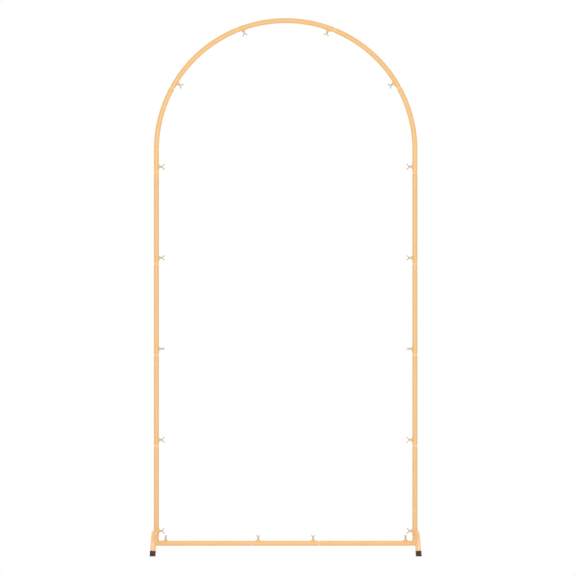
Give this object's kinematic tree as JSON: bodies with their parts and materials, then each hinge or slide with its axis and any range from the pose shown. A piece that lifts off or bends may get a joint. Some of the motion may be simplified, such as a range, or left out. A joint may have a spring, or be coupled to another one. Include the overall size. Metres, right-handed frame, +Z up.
{
  "type": "wedding arch",
  "caption": "Free-standing gold metal arch of thin plug-together tubes with wing screws, a floor bar and bent tube feet.",
  "frame": {"origin": "on the floor, under the middle of the arch", "axes": "+Z up; the arch stands in the XZ plane and the feet reach out along Y"},
  "size_m": [1.0092, 0.3804, 1.9995],
  "materials": {
    "gold_paint": "satin powder coat",
    "zinc_screw": "zinc plated",
    "brown_plastic": "matt moulded"
  },
  "bodies": {
    "root": {"right_leg_tube_1": "gold_paint", "right_leg_tube_2": "gold_paint", "right_leg_tube_3": "gold_paint", "right_leg_tube_4": "gold_paint", "right_arch_tube_lower": "gold_paint", "right_arch_tube_upper": "gold_paint", "right_bar_tube": "gold_paint", "right_corner_elbow": "gold_paint", "right_foot": "gold_paint", "left_leg_tube_1": "gold_paint", "left_leg_tube_2": "gold_paint", "left_leg_tube_3": "gold_paint", "left_leg_tube_4": "gold_paint", "left_arch_tube_lower": "gold_paint", "left_arch_tube_upper": "gold_paint", "left_bar_tube": "gold_paint", "left_corner_elbow": "gold_paint", "left_foot": "gold_paint", "top_arch_tube": "gold_paint", "middle_bar_tube": "gold_paint", "right_leg_wing_screw_1": "zinc_screw", "right_leg_wing_screw_2": "zinc_screw", "right_leg_wing_screw_3": "zinc_screw", "right_leg_wing_screw_4": "zinc_screw", "right_leg_wing_screw_5": "zinc_screw", "right_arch_wing_screw_1": "zinc_screw", "right_arch_wing_screw_2": "zinc_screw", "right_bar_wing_screw_1": "zinc_screw", "right_bar_wing_screw_2": "zinc_screw", "left_leg_wing_screw_1": "zinc_screw", "left_leg_wing_screw_2": "zinc_screw", "left_leg_wing_screw_3": "zinc_screw", "left_leg_wing_screw_4": "zinc_screw", "left_leg_wing_screw_5": "zinc_screw", "left_arch_wing_screw_1": "zinc_screw", "left_arch_wing_screw_2": "zinc_screw", "left_bar_wing_screw_1": "zinc_screw", "left_bar_wing_screw_2": "zinc_screw", "right_foot_cap_front": "brown_plastic", "right_foot_cap_back": "brown_plastic", "left_foot_cap_front": "brown_plastic", "left_foot_cap_back": "brown_plastic"}
  },
  "joints": []
}
